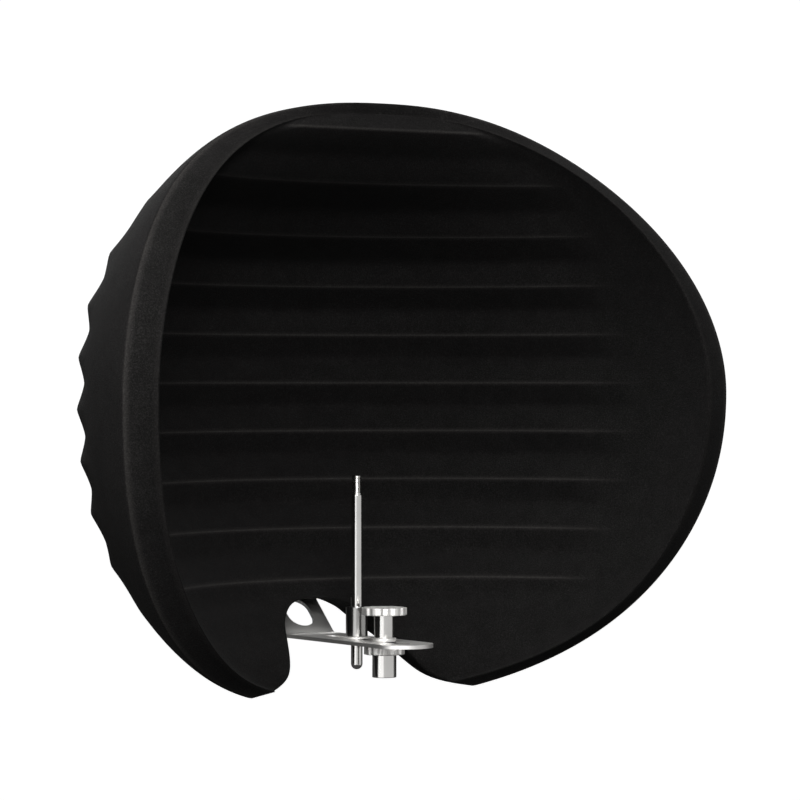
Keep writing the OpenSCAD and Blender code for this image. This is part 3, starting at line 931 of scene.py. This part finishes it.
def panel(tree, direction, middle, reach, soft=0.03):
    """1 for directions within reach degrees of a heading, falling softly to 0 past it."""
    dot = add(tree, "ShaderNodeVectorMath", operation="DOT_PRODUCT")
    tree.links.new(direction, dot.inputs[0])
    dot.inputs[1].default_value = heading(middle)
    edge = 0.5 + 0.5 * math.cos(math.radians(reach))
    half = maths(tree, "ADD", maths(tree, "MULTIPLY", dot.outputs["Value"], 0.5), 0.5)
    return ramp(tree, half, [(edge - soft, 0.0), (edge, 1.0)])


def make_world():
    """White behind the object; in reflections a bright panel on the left and a greyer one ahead."""
    world = bpy.data.worlds.new("studio")
    bpy.context.scene.world = world
    world.use_nodes = True
    tree = world.node_tree
    coords = add(tree, "ShaderNodeTexCoord")
    direction = coords.outputs["Generated"]
    split = add(tree, "ShaderNodeSeparateXYZ")
    tree.links.new(direction, split.inputs[0])
    # 0 straight down, 0.5 at the horizon and 1 straight up
    height = maths(tree, "ADD", maths(tree, "MULTIPLY", split.outputs["Z"], 0.5), 0.5)
    band = ramp(tree, height, [(0.28, 0.0), (0.34, 1.0), (0.62, 1.0), (0.68, 0.0)])
    bright = maths(tree, "MULTIPLY", panel(tree, direction, 66, 25), 1.1)
    grey = maths(tree, "MULTIPLY", panel(tree, direction, -12, 54), 0.5)
    walls = maths(tree, "MULTIPLY", maths(tree, "MAXIMUM", bright, grey), band)
    roof = ramp(tree, height, [(0.70, 0.06), (0.95, 0.7)])
    studio = maths(tree, "ADD", walls, roof)
    # matt surfaces see little of this studio, because the lights do their lighting
    rays = add(tree, "ShaderNodeLightPath")
    gloss = maths(tree, "ADD", maths(tree, "MULTIPLY", rays.outputs["Is Glossy Ray"], 0.88), 0.12)
    seen = mixed(tree, rays.outputs["Is Camera Ray"], maths(tree, "MULTIPLY", studio, gloss), (1.0, 1.0, 1.0))
    tree.links.new(seen, tree.nodes["Background"].inputs["Color"])
    tree.nodes["Background"].inputs["Strength"].default_value = 1.05


def make_floor():
    """A wide pale floor, low enough that a camera above it can look up at the object."""
    floor_z = cad_box[0].z - 2.2
    half = 40
    corners = [(-half, -half, floor_z), (half, -half, floor_z), (half, half, floor_z), (-half, half, floor_z)]
    floor = new_object("floor", corners, [(0, 1, 2, 3)])
    mat, tree, shader = node_material("floor")
    tone = noise(tree, object_coords(tree), 2.0)
    tree.links.new(ramp(tree, tone, [(0.3, 0.93), (0.7, 0.96)]), shader.inputs["Base Color"])
    shader.inputs["Roughness"].default_value = 0.9
    shader.inputs["Specular IOR Level"].default_value = 0.1
    shader.inputs["Emission Color"].default_value = (1, 1, 1, 1)
    shader.inputs["Emission Strength"].default_value = 0.95
    floor.data.materials.append(mat)
    # the pale floor would light the hollow from below, so only the camera sees it
    floor.visible_diffuse = False
    floor.visible_glossy = False


# what the lights look at
BOWL_MIDDLE = Vector((0, 0.05, 0.22))


def place_light(name, left_of_front, elevation, distance, size, size_y, power):
    """An area light that looks at the bowl's middle from a heading and an elevation in degrees."""
    data = bpy.data.lights.new(name, "AREA")
    data.energy = power
    data.shape = "RECTANGLE"
    data.size, data.size_y = size, size_y
    light = bpy.data.objects.new(name, data)
    bpy.context.scene.collection.objects.link(light)
    rise = math.radians(elevation)
    way = Vector(heading(left_of_front)) * math.cos(rise) + Vector((0, 0, math.sin(rise)))
    light.location = BOWL_MIDDLE + way * distance
    aim(light, -way)


def make_studio():
    """Soft light from the front, above and the left, and one light behind for the views of the back."""
    scene = bpy.context.scene
    scene.view_settings.view_transform = "Standard"
    scene.view_settings.look = "None"
    make_world()
    make_floor()
    place_light("key", 24, 24, 2.6, 1.0, 0.5, 42)
    place_light("top", 35, 64, 2.4, 1.6, 1.2, 42)
    place_light("front", 30, 11, 2.6, 1.0, 0.4, 17)
    place_light("side", 75, 12, 2.4, 0.8, 1.2, 18)
    place_light("back", 200, 35, 2.6, 1.6, 1.2, 40)


make_camera()
make_studio()
